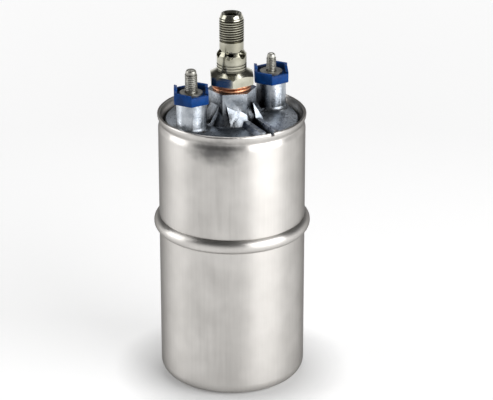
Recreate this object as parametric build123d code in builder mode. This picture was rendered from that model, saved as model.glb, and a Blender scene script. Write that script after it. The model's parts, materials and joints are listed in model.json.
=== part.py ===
from build123d import *
import os
from math import cos, pi, radians, sin, sqrt, tan

# Electric roller-cell fuel pump, standing on its flat bottom.
# Millimetres, +Z up, origin on the axis of the can at the plane it stands on.
# The two terminal towers lie on the X axis.

os.makedirs("parts", exist_ok=True)

# Clearances
fit_gap = 0.02
running_gap = 0.04
slide_gap = 0.15
magnet_gap = 0.6
seat_gap = 0.05
thrust_gap = 0.4
flux_ring_gap = 0.15
tower_rim_gap = 0.25

# How far shapes that join or cut each other overlap
overlap = 1.0

# Can
can_radius = 30.0
can_wall = 1.25
can_bottom_corner = 5.0
rim_height = 115.0
bead_drop = 47.3
bead_proud = 2.2
bead_radius = 3.2
neck_start_drop = 6.7
neck_drop = 3.8
neck_depth = 0.8
rim_flare = 0.3
notch_width = 1.6
notch_depth = 1.3
notch_angle = -96.0

# End cover
cover_face_drop = 2.7
cover_plate = 3.3
cover_rim_gap = 1.0
cover_flange_wall = 4.6
cover_flange_height = 7.55
tower_radius = 6.1
tower_height = 11.6
tower_flare_reach = 2.2
tower_flare_height = 3.0
tower_bore_radius = 3.9
boss_flats = 17.4
boss_turn = 30.0
boss_height = 12.8
boss_skirt_radius = 12.7
boss_skirt_height = 6.0
web_thickness = 5.4
web_height = 7.7
web_foot_reach = 13.3
web_foot_height = 1.2
web_waist_reach = 10.6
web_waist_height = 4.9
edge_round = 0.4
hub_bore_gap = 1.0
spigot_end_gap = 0.5
fuel_window_drop = 1.3
fuel_window_height = 1.6
seal_groove_play = 0.6

# Keyway lug on the cover: two ribs with a slot between them, their left sides sloping
lug_angle = -101.5
lug_reach = 25.9
lug_height = 1.9
lug_side = -0.3
lug_rib_width = 2.3
lug_slot_width = 3.8
lug_thin_rib_width = 1.7
lug_slot_depth = 2.7
lug_slope = 1.2

# Pedestals where the ribs meet the boss, their outer faces leaning back
pedestal_side = -6.0
pedestal_foot_reach = 10.4
pedestal_edge_reach = 9.5
pedestal_edge_height = 3.6
pedestal_top_reach = 7.6
pedestal_top_height = 7.8
pedestal_low_height = 3.2
pedestal_foot_side = 9.0
pedestal_foot_height = 1.5

# Terminals
insulator_flats = 13.8
insulator_turn = -6.5
insulator_wall = 1.3
insulator_low_wall = 4.6
insulator_high_wall = 5.9
insulator_floor = 3.2
insulator_mouth_drop = 0.9
insulator_walls = 6
insulator_tall_walls = (0, 2)
insulator_mouth_wall = 4
insulator_sleeve_length = 16.0
insulator_sleeve_radius = 3.8
stud_large_radius = 2.5
stud_small_radius = 2.0
stud_large_rise = 13.4
stud_small_rise = 11.5
stud_head_radius = 3.3
stud_head_thickness = 2.0
stud_point = 1.1
stud_shank_step = 0.26
stud_thread_lift = 0.3
washer_thickness = 0.8
washer_radius = 4.6

# Outlet check valve
washer_copper_radius = 7.9
washer_copper_bore = 6.4
washer_copper_height = 2.7
washer_copper_bulge = 0.5
fitting_hex_flats = 17.0
fitting_hex_height = 5.4
fitting_hex_turn = 55.0
fitting_chamfer_angle = 30.0
spigot_radius = 6.0
spigot_length = 12.0
neck_radius = 6.05
neck_length = 6.7
cone_length = 1.4
shank_radius = 4.8
shank_length = 4.4
outlet_thread_radius = 5.0
outlet_thread_length = 8.4
outlet_point = 2.5
outlet_point_radius = 4.1
outlet_bore_radius = 2.2
cross_hole_radius = 1.7
cross_hole_count = 6
cross_hole_turn = -18.0
centre_hole_radius = 2.6
centre_hole_depth = 4.5
centre_sink_radius = 3.4
valve_bore_radius = 4.3
valve_bore_depth = 12.8
valve_seat_inset = 0.4
valve_seat_length = 4.0
valve_seat_bore = 2.7
poppet_radius = 3.8
poppet_thickness = 1.2
poppet_stem_radius = 1.5
poppet_stem_length = 10.5
check_spring_wire = 0.5
check_spring_radius = 3.1
check_spring_turns = 5

# Motor
shaft_radius = 3.0
bearing_radius = 5.2
bearing_length = 6.0
bearing_hub_radius = 8.0
shaft_top_drop = 5.9
shaft_foot_lift = 0.6
flux_ring_wall = 2.1
magnet_thickness = 5.6
magnet_end_gap = 3.0
magnet_arc = 132.0
clip_sheet = 0.6
clip_tab_share = 0.6
clip_arc_gap = 0.4
core_end_gap = 7.0
core_slot_count = 8
core_slot_opening = 2.0
core_slot_inner = 9.4
core_slot_inner_width = 3.6
core_slot_outer_width = 9.4
core_tooth_tip = 1.7
winding_overhang = 5.0
winding_gap = 0.15
winding_round_share = 0.22
commutator_radius = 9.0
commutator_length = 11.0
commutator_bar_depth = 2.2
commutator_bar_count = 8
commutator_drop = 1.0
commutator_play = 0.2
riser_height = 2.0
bar_split = 0.6
brush_width = 6.0
brush_height = 8.0
brush_length = 8.0
brush_spring_wire = 0.5
brush_spring_radius = 2.3
brush_spring_turns = 4.5
brush_seat_offset = 2.2
brush_holder_bore = 10.5
brush_holder_height = 12.6
strap_width = 5.0
strap_thickness = 0.6

# Pump section
inlet_cover_height = 17.0
inlet_plate_thickness = 4.0
pump_ring_height = 12.0
outlet_plate_thickness = 5.0
chamber_bolt_gap = 5.0
chamber_offset = 1.5
rotor_play = 1.9
roller_radius = 3.0
roller_count = 5
coupling_radius = 7.6
coupling_length = 8.0
coupling_finger_radius = 1.3
coupling_finger_spread = 5.6
coupling_finger_length = 6.0
finger_end_gap = 1.0
port_inset = 3.2
port_width = 3.4
port_arc = 70.0
plate_bolt_inset = 6.25
plate_screw_radius = 2.0
plate_screw_head = 3.5
plate_screw_head_height = 2.6
plate_screw_count = 3
plate_screw_turn = 30.0

# Inlet
inlet_neck_radius = 13.0
inlet_recess = 0.3
inlet_thread_bore = 8.25
inlet_thread_depth = 12.0
inlet_hole_radius = 5.5
suction_recess_wall = 8.25
suction_recess_depth = 2.4
strainer_thickness = 0.6
strainer_radius = 8.0
strainer_hole_radius = 0.7
strainer_hole_ring = 2.1
strainer_hole_count = 6
relief_hole_radius = 2.2
relief_ball_radius = 3.0
relief_bore_radius = 3.3
relief_bore_depth = 11.5
relief_spring_wire = 0.5
relief_spring_radius = 2.3
relief_spring_turns = 5
seal_section = 2.0

# Heights worked out from the stack of pieces
can_inner = can_radius - can_wall
bead_height = rim_height - bead_drop
neck_top_start = rim_height - neck_start_drop
neck_height = rim_height - neck_drop
cover_face_height = rim_height - cover_face_drop
inlet_plate_base = inlet_cover_height
pump_ring_base = inlet_plate_base + inlet_plate_thickness
outlet_plate_base = pump_ring_base + pump_ring_height
flux_ring_base = outlet_plate_base + outlet_plate_thickness
cover_flange_top = neck_top_start - slide_gap
cover_flange_base = cover_flange_top - cover_flange_height
brush_holder_top = cover_flange_base
flux_ring_top = brush_holder_top - brush_holder_height
flux_ring_length = flux_ring_top - flux_ring_base
tower_top = cover_face_height + tower_height
boss_top = cover_face_height + boss_height
fitting_hex_base = boss_top + washer_copper_height
neck_base = fitting_hex_base + fitting_hex_height
cone_base = neck_base + neck_length
shank_base = cone_base + cone_length
thread_base = shank_base + shank_length
point_base = thread_base + outlet_thread_length
outlet_top = point_base + outlet_point
insulator_seat = tower_top
washer_seat = insulator_seat + insulator_floor

# Radii worked out from the can inwards
fit_radius = can_inner - fit_gap
cover_radius = can_inner - neck_depth - cover_rim_gap
tower_spread = cover_radius - tower_rim_gap - tower_radius
flux_ring_radius = can_inner - flux_ring_gap
brush_spring_seat = tower_spread + brush_seat_offset
plate_bolt_circle = can_inner - plate_bolt_inset
chamber_radius = plate_bolt_circle - chamber_bolt_gap
rotor_radius = chamber_radius - rotor_play
port_radius = rotor_radius - port_inset
suction_recess_radius = can_inner - suction_recess_wall

# Heights of the turning parts
shaft_top = cover_face_height - shaft_top_drop
shaft_foot = inlet_plate_base + shaft_foot_lift
core_base = flux_ring_base + core_end_gap
core_top = flux_ring_top - core_end_gap
core_length = core_top - core_base
magnet_outer = flux_ring_radius - flux_ring_wall - fit_gap
magnet_inner = magnet_outer - magnet_thickness
core_radius = magnet_inner - magnet_gap
magnet_base = flux_ring_base + magnet_end_gap
magnet_length = flux_ring_length - 2 * magnet_end_gap
commutator_base = brush_holder_top - commutator_length - commutator_drop
brush_height_centre = commutator_base + 0.5 * commutator_length
brush_inner = commutator_radius + running_gap
brush_outer = brush_inner + brush_length


def hexagon(flats, turn):
    """A hexagon given by its width across flats, with a corner at the angle turn."""
    return RegularPolygon(radius=flats / 2, side_count=6, major_radius=False, rotation=turn)


def finish(part, name):
    """Label a finished piece and write it under its node name."""
    part.label = name
    export_step(part, f"parts/{name}.step")


def coil_spring(coil_radius, wire, base, top, turns):
    """A compression spring standing along Z with its coil centre on the Z axis."""
    length = top - base - wire
    start = Vector(coil_radius, 0, base + wire / 2)
    with BuildPart() as spring:
        with BuildLine() as coil:
            Helix(pitch=length / turns, height=length, radius=coil_radius, center=(0, 0, base + wire / 2))
        with BuildSketch(Plane(origin=start, z_dir=coil.line % 0)):
            Circle(wire / 2)
        sweep(path=coil.line)
    return spring.part


# Can: one deep-drawn shell, closed at the bottom except for the inlet neck hole
def can_outline(inset):
    """Wall line of the can, moved inwards by inset, from the bottom hole up to the neck."""
    radius = can_radius - inset
    corner = can_bottom_corner - inset
    bulge = bead_radius - inset
    bulge_centre = can_radius + bead_proud - bead_radius
    half = sqrt(bulge**2 - (radius - bulge_centre) ** 2)
    return radius, corner, bulge_centre, bulge, half


def wall_line(inset, hole_radius):
    """Draw the can's outer (inset 0) or inner wall line and return its two ends."""
    radius, corner, bulge_centre, bulge, half = can_outline(inset)
    corner_centre = (radius - corner, inset + corner)
    lower = (radius, bead_height - half)
    upper = (radius, bead_height + half)
    start = (hole_radius, inset)
    end = (radius, neck_top_start)
    Line(start, (radius - corner, inset))
    CenterArc(corner_centre, corner, -90, 90)
    Line((radius, inset + corner), lower)
    ThreePointArc(lower, (bulge_centre + bulge, bead_height), upper)
    Line(upper, end)
    return start, end


neck_outer = can_radius - neck_depth
rim_outer = can_radius + rim_flare
rim_centre = (rim_outer - can_wall / 2, rim_height - can_wall / 2)

with BuildPart() as can:
    with BuildSketch(Plane.XZ) as wall:
        with BuildLine():
            outer_start, outer_end = wall_line(0, inlet_neck_radius + fit_gap)
            inner_start, inner_end = wall_line(can_wall, inlet_neck_radius + fit_gap)
            Line(outer_start, inner_start)
            neck_out = (neck_outer, neck_height)
            neck_in = (neck_outer - can_wall, neck_height)
            lip_out = (rim_outer, rim_height - can_wall / 2)
            lip_in = (rim_outer - can_wall, rim_height - can_wall / 2)
            Spline(outer_end, neck_out, lip_out, tangents=[(0, 1), (0, 1)])
            Spline(inner_end, neck_in, lip_in, tangents=[(0, 1), (0, 1)])
            ThreePointArc(lip_out, (rim_centre[0], rim_height), lip_in)
        make_face()
    revolve(axis=Axis.Z)
    notch_x = (rim_outer - can_wall / 2) * cos(radians(notch_angle))
    notch_y = (rim_outer - can_wall / 2) * sin(radians(notch_angle))
    with Locations(Location((notch_x, notch_y, rim_height), (0, 0, notch_angle))):
        Box(3 * can_wall, notch_width, 2 * notch_depth, mode=Mode.SUBTRACT)
finish(can.part, "can")

# End cover: die-cast cup, its face just below the rolled rim
hub_base = cover_flange_base + thrust_gap

with BuildPart() as end_cover:
    with BuildSketch(Plane.XZ) as cover_section:
        with BuildLine():
            Polyline(
                (0, cover_face_height),
                (cover_radius, cover_face_height),
                (cover_radius, cover_flange_top),
                (fit_radius, cover_flange_top),
                (fit_radius, cover_flange_base),
                (fit_radius - cover_flange_wall, cover_flange_base),
                (fit_radius - cover_flange_wall, cover_face_height - cover_plate),
                (bearing_hub_radius, cover_face_height - cover_plate),
                (bearing_hub_radius, hub_base),
                (0, hub_base),
                close=True,
            )
        make_face()
    revolve(axis=Axis.Z)
    fillet(end_cover.edges().filter_by(GeomType.CIRCLE).group_by(Axis.Z)[-1], edge_round)

    # Skirt and hexagonal boss
    with Locations((0, 0, cover_face_height - overlap)):
        Cone(
            boss_skirt_radius,
            boss_flats / 2,
            boss_skirt_height + overlap,
            align=(Align.CENTER, Align.CENTER, Align.MIN),
        )
    with BuildSketch(Plane.XY.offset(cover_face_height - overlap)):
        hexagon(boss_flats, boss_turn)
    extrude(amount=boss_height + overlap)

    # Terminal towers, each with a hollow flare at its foot
    tower_foot = cover_face_height - overlap
    for side in (-1, 1):
        with Locations((side * tower_spread, 0, tower_foot)):
            Cylinder(tower_radius, tower_top - tower_foot, align=(Align.CENTER, Align.CENTER, Align.MIN))
        with BuildPart(mode=Mode.PRIVATE) as flare:
            with BuildSketch(Plane.XZ):
                with BuildLine():
                    flare_top = (tower_radius, cover_face_height + tower_flare_height)
                    flare_foot = (tower_radius + tower_flare_reach, cover_face_height)
                    flare_waist = (
                        tower_radius + 0.25 * tower_flare_reach,
                        cover_face_height + 0.25 * tower_flare_height,
                    )
                    ThreePointArc(flare_top, flare_waist, flare_foot)
                    Line(flare_foot, (flare_foot[0], tower_foot))
                    Line((flare_foot[0], tower_foot), (0, tower_foot))
                    Line((0, tower_foot), (0, flare_top[1]))
                    Line((0, flare_top[1]), flare_top)
                make_face()
            revolve(axis=Axis.Z)
        with Locations((side * tower_spread, 0, 0)):
            add(flare.part)

    # Webs from the boss towards the towers, falling steeply and then levelling out
    with BuildSketch(Plane.XZ) as web_side:
        with BuildLine():
            Polyline(
                (0, tower_foot),
                (tower_spread, tower_foot),
                (tower_spread, cover_face_height + web_foot_height),
                (web_foot_reach, cover_face_height + web_foot_height),
                (web_waist_reach, cover_face_height + web_waist_height),
                (boss_flats / 2, cover_face_height + web_height),
                (0, cover_face_height + web_height),
                close=True,
            )
        make_face()
        mirror(about=Plane.YZ)
    extrude(amount=web_thickness / 2, both=True)

    # Keyway lug: both ribs in one section, drawn across the lug's direction
    lug_direction = Vector(cos(radians(lug_angle)), sin(radians(lug_angle)), 0)
    lug_across = Vector(-lug_direction.Y, lug_direction.X, 0)
    lug_section = Plane(origin=(0, 0, cover_face_height), x_dir=lug_across, z_dir=lug_direction)
    slot_start = lug_side + lug_rib_width
    slot_end = slot_start + lug_slot_width
    lug_end = slot_end + lug_thin_rib_width
    with BuildSketch(lug_section):
        with BuildLine():
            Polyline(
                (lug_side - lug_slope, -overlap),
                (lug_side - lug_slope, 0),
                (lug_side, lug_height),
                (lug_end, lug_height),
                (lug_end, -overlap),
                close=True,
            )
        make_face()
    extrude(amount=lug_reach)

    # Two pedestals, cut to shape first from the side and then across
    with BuildPart(mode=Mode.PRIVATE) as pedestals:
        with BuildSketch(Plane(origin=(0, 0, cover_face_height), x_dir=lug_direction, z_dir=-lug_across)):
            with BuildLine():
                Polyline(
                    (0, -overlap),
                    (pedestal_foot_reach, -overlap),
                    (pedestal_foot_reach, 0),
                    (pedestal_edge_reach, pedestal_edge_height),
                    (pedestal_top_reach, pedestal_top_height),
                    (0, pedestal_top_height),
                    close=True,
                )
            make_face()
        extrude(amount=lug_reach, both=True)
        with BuildSketch(lug_section):
            with BuildLine():
                Polyline(
                    (pedestal_side, -overlap),
                    (pedestal_side, pedestal_top_height),
                    (slot_start, pedestal_low_height),
                    (slot_end, pedestal_low_height),
                    (slot_end, pedestal_top_height),
                    (pedestal_foot_side, pedestal_foot_height),
                    (pedestal_foot_side, -overlap),
                    close=True,
                )
            make_face()
        extrude(amount=lug_reach, mode=Mode.INTERSECT)
    add(pedestals.part)

    # Slot between the ribs, from the boss out to the cover's edge
    slot_floor = lug_height - lug_slot_depth
    with BuildSketch(lug_section.offset(boss_flats / 2)):
        with BuildLine():
            Polyline(
                (slot_start, slot_floor),
                (slot_end - lug_slope, slot_floor),
                (slot_end, lug_height),
                (slot_end, 2 * pedestal_low_height),
                (slot_start, 2 * pedestal_low_height),
                close=True,
            )
        make_face()
    extrude(amount=lug_reach, mode=Mode.SUBTRACT)

    # Nothing stands out past the cover's round edge
    with BuildSketch(Plane.XY.offset(cover_flange_top)):
        Circle(can_radius + rim_height)
        Circle(cover_radius, mode=Mode.SUBTRACT)
    extrude(amount=boss_height + tower_height, mode=Mode.SUBTRACT)

    # Tower bores, bearing hub bore, boss bore and the fuel windows beside the hub
    with Locations((tower_spread, 0, 0), (-tower_spread, 0, 0)):
        Cylinder(
            tower_bore_radius,
            2 * tower_top,
            mode=Mode.SUBTRACT,
        )
    with Locations((0, 0, hub_base - overlap)):
        Cylinder(
            bearing_radius + fit_gap,
            bearing_length + overlap,
            align=(Align.CENTER, Align.CENTER, Align.MIN),
            mode=Mode.SUBTRACT,
        )
    with Locations((0, 0, hub_base)):
        Cylinder(
            shaft_radius + hub_bore_gap,
            boss_top - hub_base,
            align=(Align.CENTER, Align.CENTER, Align.MIN),
            mode=Mode.SUBTRACT,
        )
    spigot_bore_depth = spigot_length + spigot_end_gap
    with Locations((0, 0, boss_top - spigot_bore_depth)):
        Cylinder(
            spigot_radius + fit_gap,
            spigot_bore_depth + overlap,
            align=(Align.CENTER, Align.CENTER, Align.MIN),
            mode=Mode.SUBTRACT,
        )
    with Locations((0, 0, cover_face_height - cover_plate - fuel_window_drop)):
        Box(
            3 * shaft_radius,
            2 * (bearing_hub_radius + overlap),
            fuel_window_height,
            align=(Align.CENTER, Align.CENTER, Align.MIN),
            mode=Mode.SUBTRACT,
        )

    # Groove for the seal
    seal_height = (cover_flange_base + cover_flange_top) / 2
    with BuildSketch(Plane.XZ):
        with Locations((fit_radius, seal_height)):
            Rectangle(2 * seal_section, seal_section + seal_groove_play)
    revolve(axis=Axis.Z, mode=Mode.SUBTRACT)
finish(end_cover.part, "end_cover")


def disc(radius, base, height, bore=0.0):
    """A flat ring or disc about the Z axis, for use inside a part."""
    with BuildSketch(Plane.XY.offset(base)) as section:
        Circle(radius)
        if bore > 0:
            Circle(bore, mode=Mode.SUBTRACT)
    extrude(section.sketch, amount=height)


def ring_sector(inner, outer, start_angle, arc_size):
    """A sector of a flat ring, for use inside a sketch."""
    first = radians(start_angle)
    last = radians(start_angle + arc_size)
    with BuildLine() as outline:
        CenterArc((0, 0), outer, start_angle, arc_size)
        CenterArc((0, 0), inner, start_angle, arc_size)
        Line((inner * cos(first), inner * sin(first)), (outer * cos(first), outer * sin(first)))
        Line((inner * cos(last), inner * sin(last)), (outer * cos(last), outer * sin(last)))
    make_face(outline.edges())


# Seal rings, one under the cover's flange and one round the inlet cover
inlet_seal_height = inlet_cover_height / 2
seal_ring_radius = can_inner - seal_section / 2 - fit_gap / 2

with BuildPart() as cover_seal:
    with Locations((0, 0, seal_height)):
        Torus(seal_ring_radius, seal_section / 2)
finish(cover_seal.part, "cover_seal")

with BuildPart() as inlet_seal:
    with Locations((0, 0, inlet_seal_height)):
        Torus(seal_ring_radius, seal_section / 2)
finish(inlet_seal.part, "inlet_seal")


# Terminals: insulator cup, stud and washer for each tower
def make_insulator(side, stud_radius, name):
    """Hexagonal plastic cup with a sleeve that lines the tower's bore."""
    cup_inner = insulator_flats - 2 * insulator_wall
    with BuildPart() as insulator:
        with BuildSketch(Plane(origin=(side * tower_spread, 0, insulator_seat))):
            hexagon(insulator_flats, insulator_turn)
        extrude(amount=insulator_high_wall)
        with BuildSketch(Plane(origin=(side * tower_spread, 0, insulator_seat + insulator_floor))):
            hexagon(cup_inner, insulator_turn)
        extrude(amount=insulator_high_wall, mode=Mode.SUBTRACT)
        # Only two of the six walls stay at full height; one is lower still, where the cable lies
        for wall_number in range(insulator_walls):
            if wall_number in insulator_tall_walls:
                continue
            facing = insulator_turn + (wall_number + 0.5) * 360 / insulator_walls
            drop = insulator_high_wall - insulator_low_wall
            if wall_number == insulator_mouth_wall:
                drop += insulator_mouth_drop
            cut_base = insulator_seat + insulator_high_wall - drop
            cut_plane = Plane(
                origin=(side * tower_spread, 0, cut_base),
                x_dir=(cos(radians(facing)), sin(radians(facing)), 0),
                z_dir=(0, 0, 1),
            )
            with BuildSketch(cut_plane):
                with BuildLine():
                    Polyline(
                        (0, 0),
                        (insulator_flats, -insulator_flats * tan(pi / insulator_walls)),
                        (insulator_flats, insulator_flats * tan(pi / insulator_walls)),
                        close=True,
                    )
                make_face()
            extrude(amount=2 * drop, mode=Mode.SUBTRACT)
        with Locations((side * tower_spread, 0, insulator_seat)):
            Cylinder(
                insulator_sleeve_radius,
                insulator_sleeve_length,
                align=(Align.CENTER, Align.CENTER, Align.MAX),
            )
        with Locations((side * tower_spread, 0, insulator_seat)):
            Cylinder(
                stud_radius + fit_gap,
                4 * insulator_sleeve_length,
                mode=Mode.SUBTRACT,
            )
    finish(insulator.part, name)


def make_stud(side, stud_radius, rise, name):
    """Terminal stud: head inside the cover, plain shank, thread above the washer."""
    head_base = insulator_seat - insulator_sleeve_length - stud_head_thickness - seat_gap
    thread_start = washer_seat + washer_thickness + stud_thread_lift
    tip = tower_top + rise
    with BuildPart() as stud:
        with Locations((side * tower_spread, 0, head_base)):
            Cylinder(
                stud_head_radius,
                stud_head_thickness,
                align=(Align.CENTER, Align.CENTER, Align.MIN),
            )
            Cylinder(
                stud_radius - stud_shank_step,
                tip - head_base,
                align=(Align.CENTER, Align.CENTER, Align.MIN),
            )
        with Locations((side * tower_spread, 0, thread_start)):
            Cylinder(
                stud_radius,
                tip - thread_start,
                align=(Align.CENTER, Align.CENTER, Align.MIN),
            )
        fillet(stud.edges().filter_by(GeomType.CIRCLE).group_by(Axis.Z)[-1], stud_point)
    finish(stud.part, name)


def make_washer(side, stud_radius, name):
    """Plain plated washer on the floor of the insulator cup."""
    with BuildPart() as washer:
        with BuildSketch(Plane(origin=(side * tower_spread, 0, washer_seat))):
            Circle(washer_radius)
            Circle(stud_radius + slide_gap, mode=Mode.SUBTRACT)
        extrude(amount=washer_thickness)
    finish(washer.part, name)


for side, stud_radius, rise, size_name in (
    (-1, stud_large_radius, stud_large_rise, "large"),
    (1, stud_small_radius, stud_small_rise, "small"),
):
    make_insulator(side, stud_radius, f"insulator_{size_name}")
    make_stud(side, stud_radius, rise, f"terminal_stud_{size_name}")
    make_washer(side, stud_radius, f"terminal_washer_{size_name}")

# Copper sealing washer: folded from sheet, so its rim shows two layers
with BuildPart() as sealing_washer:
    with BuildSketch(Plane.XZ):
        with BuildLine():
            waist = washer_copper_radius - washer_copper_bulge
            Line((washer_copper_bore, boss_top), (waist, boss_top))
            Line((washer_copper_bore, boss_top), (washer_copper_bore, fitting_hex_base))
            Line((washer_copper_bore, fitting_hex_base), (waist, fitting_hex_base))
            ThreePointArc(
                (waist, boss_top),
                (washer_copper_radius, boss_top + washer_copper_height / 4),
                (waist, boss_top + washer_copper_height / 2),
            )
            ThreePointArc(
                (waist, boss_top + washer_copper_height / 2),
                (washer_copper_radius, boss_top + 3 * washer_copper_height / 4),
                (waist, fitting_hex_base),
            )
        make_face()
    revolve(axis=Axis.Z)
finish(sealing_washer.part, "sealing_washer")

# Outlet fitting: spigot, hexagon, neck, cone with cross holes, shank, threaded end
spigot_base = boss_top - spigot_length
valve_bore_top = spigot_base + valve_bore_depth
cross_hole_height = cone_base + 0.25 * cone_length
hexagon_corner = fitting_hex_flats / sqrt(3)
chamfer_drop = (hexagon_corner - neck_radius) * tan(radians(fitting_chamfer_angle))

with BuildPart() as outlet_fitting:
    with BuildSketch(Plane.XY.offset(fitting_hex_base)):
        hexagon(fitting_hex_flats, fitting_hex_turn)
    extrude(amount=fitting_hex_height)
    # Turned chamfer on the hexagon's top, all the way in to the neck
    with BuildSketch(Plane.XZ):
        with BuildLine():
            Polyline(
                (0, fitting_hex_base),
                (hexagon_corner + overlap, fitting_hex_base),
                (hexagon_corner + overlap, neck_base - chamfer_drop),
                (hexagon_corner, neck_base - chamfer_drop),
                (neck_radius, neck_base),
                (0, neck_base),
                close=True,
            )
        make_face()
    revolve(axis=Axis.Z, mode=Mode.INTERSECT)
    with BuildSketch(Plane.XZ):
        with BuildLine():
            Polyline(
                (0, spigot_base),
                (spigot_radius, spigot_base),
                (spigot_radius, fitting_hex_base),
                (neck_radius, fitting_hex_base),
                (neck_radius, cone_base),
                (shank_radius, shank_base),
                (shank_radius, thread_base),
                (outlet_thread_radius, thread_base),
                (outlet_thread_radius, point_base),
                (outlet_point_radius, outlet_top),
                (0, outlet_top),
                close=True,
            )
        make_face()
    revolve(axis=Axis.Z)
    with BuildSketch(Plane.XY.offset(spigot_base)):
        Circle(valve_bore_radius)
    extrude(amount=valve_bore_depth, mode=Mode.SUBTRACT)
    with BuildSketch(Plane.XY.offset(valve_bore_top)):
        Circle(outlet_bore_radius)
    extrude(amount=cross_hole_height + 2 * cross_hole_radius - valve_bore_top, mode=Mode.SUBTRACT)
    for hole_number in range(cross_hole_count):
        hole_turn = cross_hole_turn + 360 * hole_number / cross_hole_count
        with Locations(Location((0, 0, cross_hole_height), (0, 90, hole_turn))):
            Cylinder(
                cross_hole_radius,
                2 * neck_radius,
                align=(Align.CENTER, Align.CENTER, Align.MIN),
                mode=Mode.SUBTRACT,
            )
    # Blind centre hole in the end, with a wide countersink
    with Locations((0, 0, outlet_top - centre_hole_depth)):
        Cylinder(
            centre_hole_radius,
            2 * centre_hole_depth,
            align=(Align.CENTER, Align.CENTER, Align.MIN),
            mode=Mode.SUBTRACT,
        )
    sink_depth = centre_sink_radius - centre_hole_radius
    with Locations((0, 0, outlet_top - sink_depth)):
        Cone(
            centre_hole_radius,
            centre_sink_radius,
            sink_depth,
            align=(Align.CENTER, Align.CENTER, Align.MIN),
            mode=Mode.SUBTRACT,
        )
finish(outlet_fitting.part, "outlet_fitting")

# Check valve inside the spigot: pressed-in seat, poppet on the seat, spring above it
valve_seat_base = spigot_base + valve_seat_inset
poppet_base = valve_seat_base + valve_seat_length + seat_gap
check_spring_base = poppet_base + poppet_thickness + seat_gap

with BuildPart() as valve_seat:
    disc(valve_bore_radius - fit_gap, valve_seat_base, valve_seat_length, valve_seat_bore)
finish(valve_seat.part, "valve_seat")

with BuildPart() as check_valve_poppet:
    disc(poppet_radius, poppet_base, poppet_thickness)
    disc(poppet_stem_radius, poppet_base, poppet_stem_length)
    fillet(check_valve_poppet.edges().filter_by(GeomType.CIRCLE).group_by(Axis.Z)[-1], edge_round)
finish(check_valve_poppet.part, "check_valve_poppet")

check_valve_spring = coil_spring(
    check_spring_radius,
    check_spring_wire,
    check_spring_base,
    valve_bore_top - seat_gap,
    check_spring_turns,
)
finish(check_valve_spring, "check_valve_spring")

# Brush holder: plastic ring with two radial brush channels
with BuildPart() as brush_holder:
    disc(fit_radius, flux_ring_top, brush_holder_height, brush_holder_bore)
    channel_reach = brush_spring_seat + strap_thickness + slide_gap
    with Locations((0, 0, brush_height_centre)):
        Box(
            2 * channel_reach,
            brush_width + 2 * slide_gap,
            brush_height + 2 * slide_gap,
            mode=Mode.SUBTRACT,
        )
    for side in (-1, 1):
        with Locations((side * (brush_spring_seat + strap_thickness / 2), 0, brush_height_centre)):
            Box(
                strap_thickness + 2 * slide_gap,
                strap_width + 2 * slide_gap,
                brush_holder_height,
                align=(Align.CENTER, Align.CENTER, Align.MIN),
                mode=Mode.SUBTRACT,
            )
finish(brush_holder.part, "brush_holder")


def make_brush(side, name):
    """Carbon brush with a hollow end that follows the commutator."""
    with BuildPart() as brush:
        with Locations((side * brush_outer / 2, 0, brush_height_centre)):
            Box(brush_outer, brush_width, brush_height)
        with Locations((0, 0, brush_height_centre)):
            Cylinder(brush_inner, 2 * brush_height, mode=Mode.SUBTRACT)
    finish(brush.part, name)


def make_brush_spring(side, name):
    """Spring behind a brush, against the upright leg of the contact strap."""
    upright = coil_spring(
        brush_spring_radius,
        brush_spring_wire,
        brush_outer + seat_gap,
        brush_spring_seat - seat_gap,
        brush_spring_turns,
    )
    with BuildPart() as spring:
        add(upright.moved(Location((0, 0, brush_height_centre), (0, side * 90, 0))))
    finish(spring.part, name)


for side, side_name in ((-1, "left"), (1, "right")):
    make_brush(side, f"brush_{side_name}")
    make_brush_spring(side, f"brush_spring_{side_name}")

# Contact straps: brass strips from the stud heads down to the brush springs
strap_top = insulator_seat - insulator_sleeve_length - stud_head_thickness - 2 * seat_gap
strap_foot = brush_height_centre - brush_spring_radius
strap_inner = tower_spread - strap_width / 2

with BuildPart() as contact_straps:
    for side in (-1, 1):
        strap_outer = brush_spring_seat + strap_thickness
        with Locations((side * (strap_inner + strap_outer) / 2, 0, strap_top)):
            Box(
                strap_outer - strap_inner,
                strap_width,
                strap_thickness,
                align=(Align.CENTER, Align.CENTER, Align.MAX),
            )
        with Locations((side * (strap_outer - strap_thickness / 2), 0, strap_foot)):
            Box(
                strap_thickness,
                strap_width,
                strap_top - strap_foot,
                align=(Align.CENTER, Align.CENTER, Align.MIN),
            )
finish(contact_straps.part, "contact_straps")

# Motor case: steel flux ring, two magnets and the clips between them
with BuildPart() as flux_ring:
    disc(flux_ring_radius, flux_ring_base, flux_ring_length, flux_ring_radius - flux_ring_wall)
finish(flux_ring.part, "flux_ring")

for middle_angle, place in ((-90, "front"), (90, "rear")):
    with BuildPart() as magnet:
        with BuildSketch(Plane.XY.offset(magnet_base)):
            ring_sector(magnet_inner, magnet_outer, middle_angle - magnet_arc / 2, magnet_arc)
        extrude(amount=magnet_length)
    finish(magnet.part, f"magnet_{place}")

clip_tab_reach = clip_tab_share * magnet_thickness
clip_arc = 180 - magnet_arc - clip_arc_gap
clip_tab_arc = 360 * clip_sheet / (2 * pi * magnet_outer)

with BuildPart() as magnet_clips:
    for middle_angle in (0, 180):
        clip_start = middle_angle - clip_arc / 2
        clip_end = middle_angle + clip_arc / 2 - clip_tab_arc
        with BuildSketch(Plane.XY.offset(magnet_base)):
            ring_sector(magnet_outer - clip_sheet, magnet_outer, clip_start, clip_arc)
            ring_sector(magnet_outer - clip_tab_reach, magnet_outer, clip_start, clip_tab_arc)
            ring_sector(magnet_outer - clip_tab_reach, magnet_outer, clip_end, clip_tab_arc)
        extrude(amount=magnet_length)
finish(magnet_clips.part, "magnet_clips")

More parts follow.
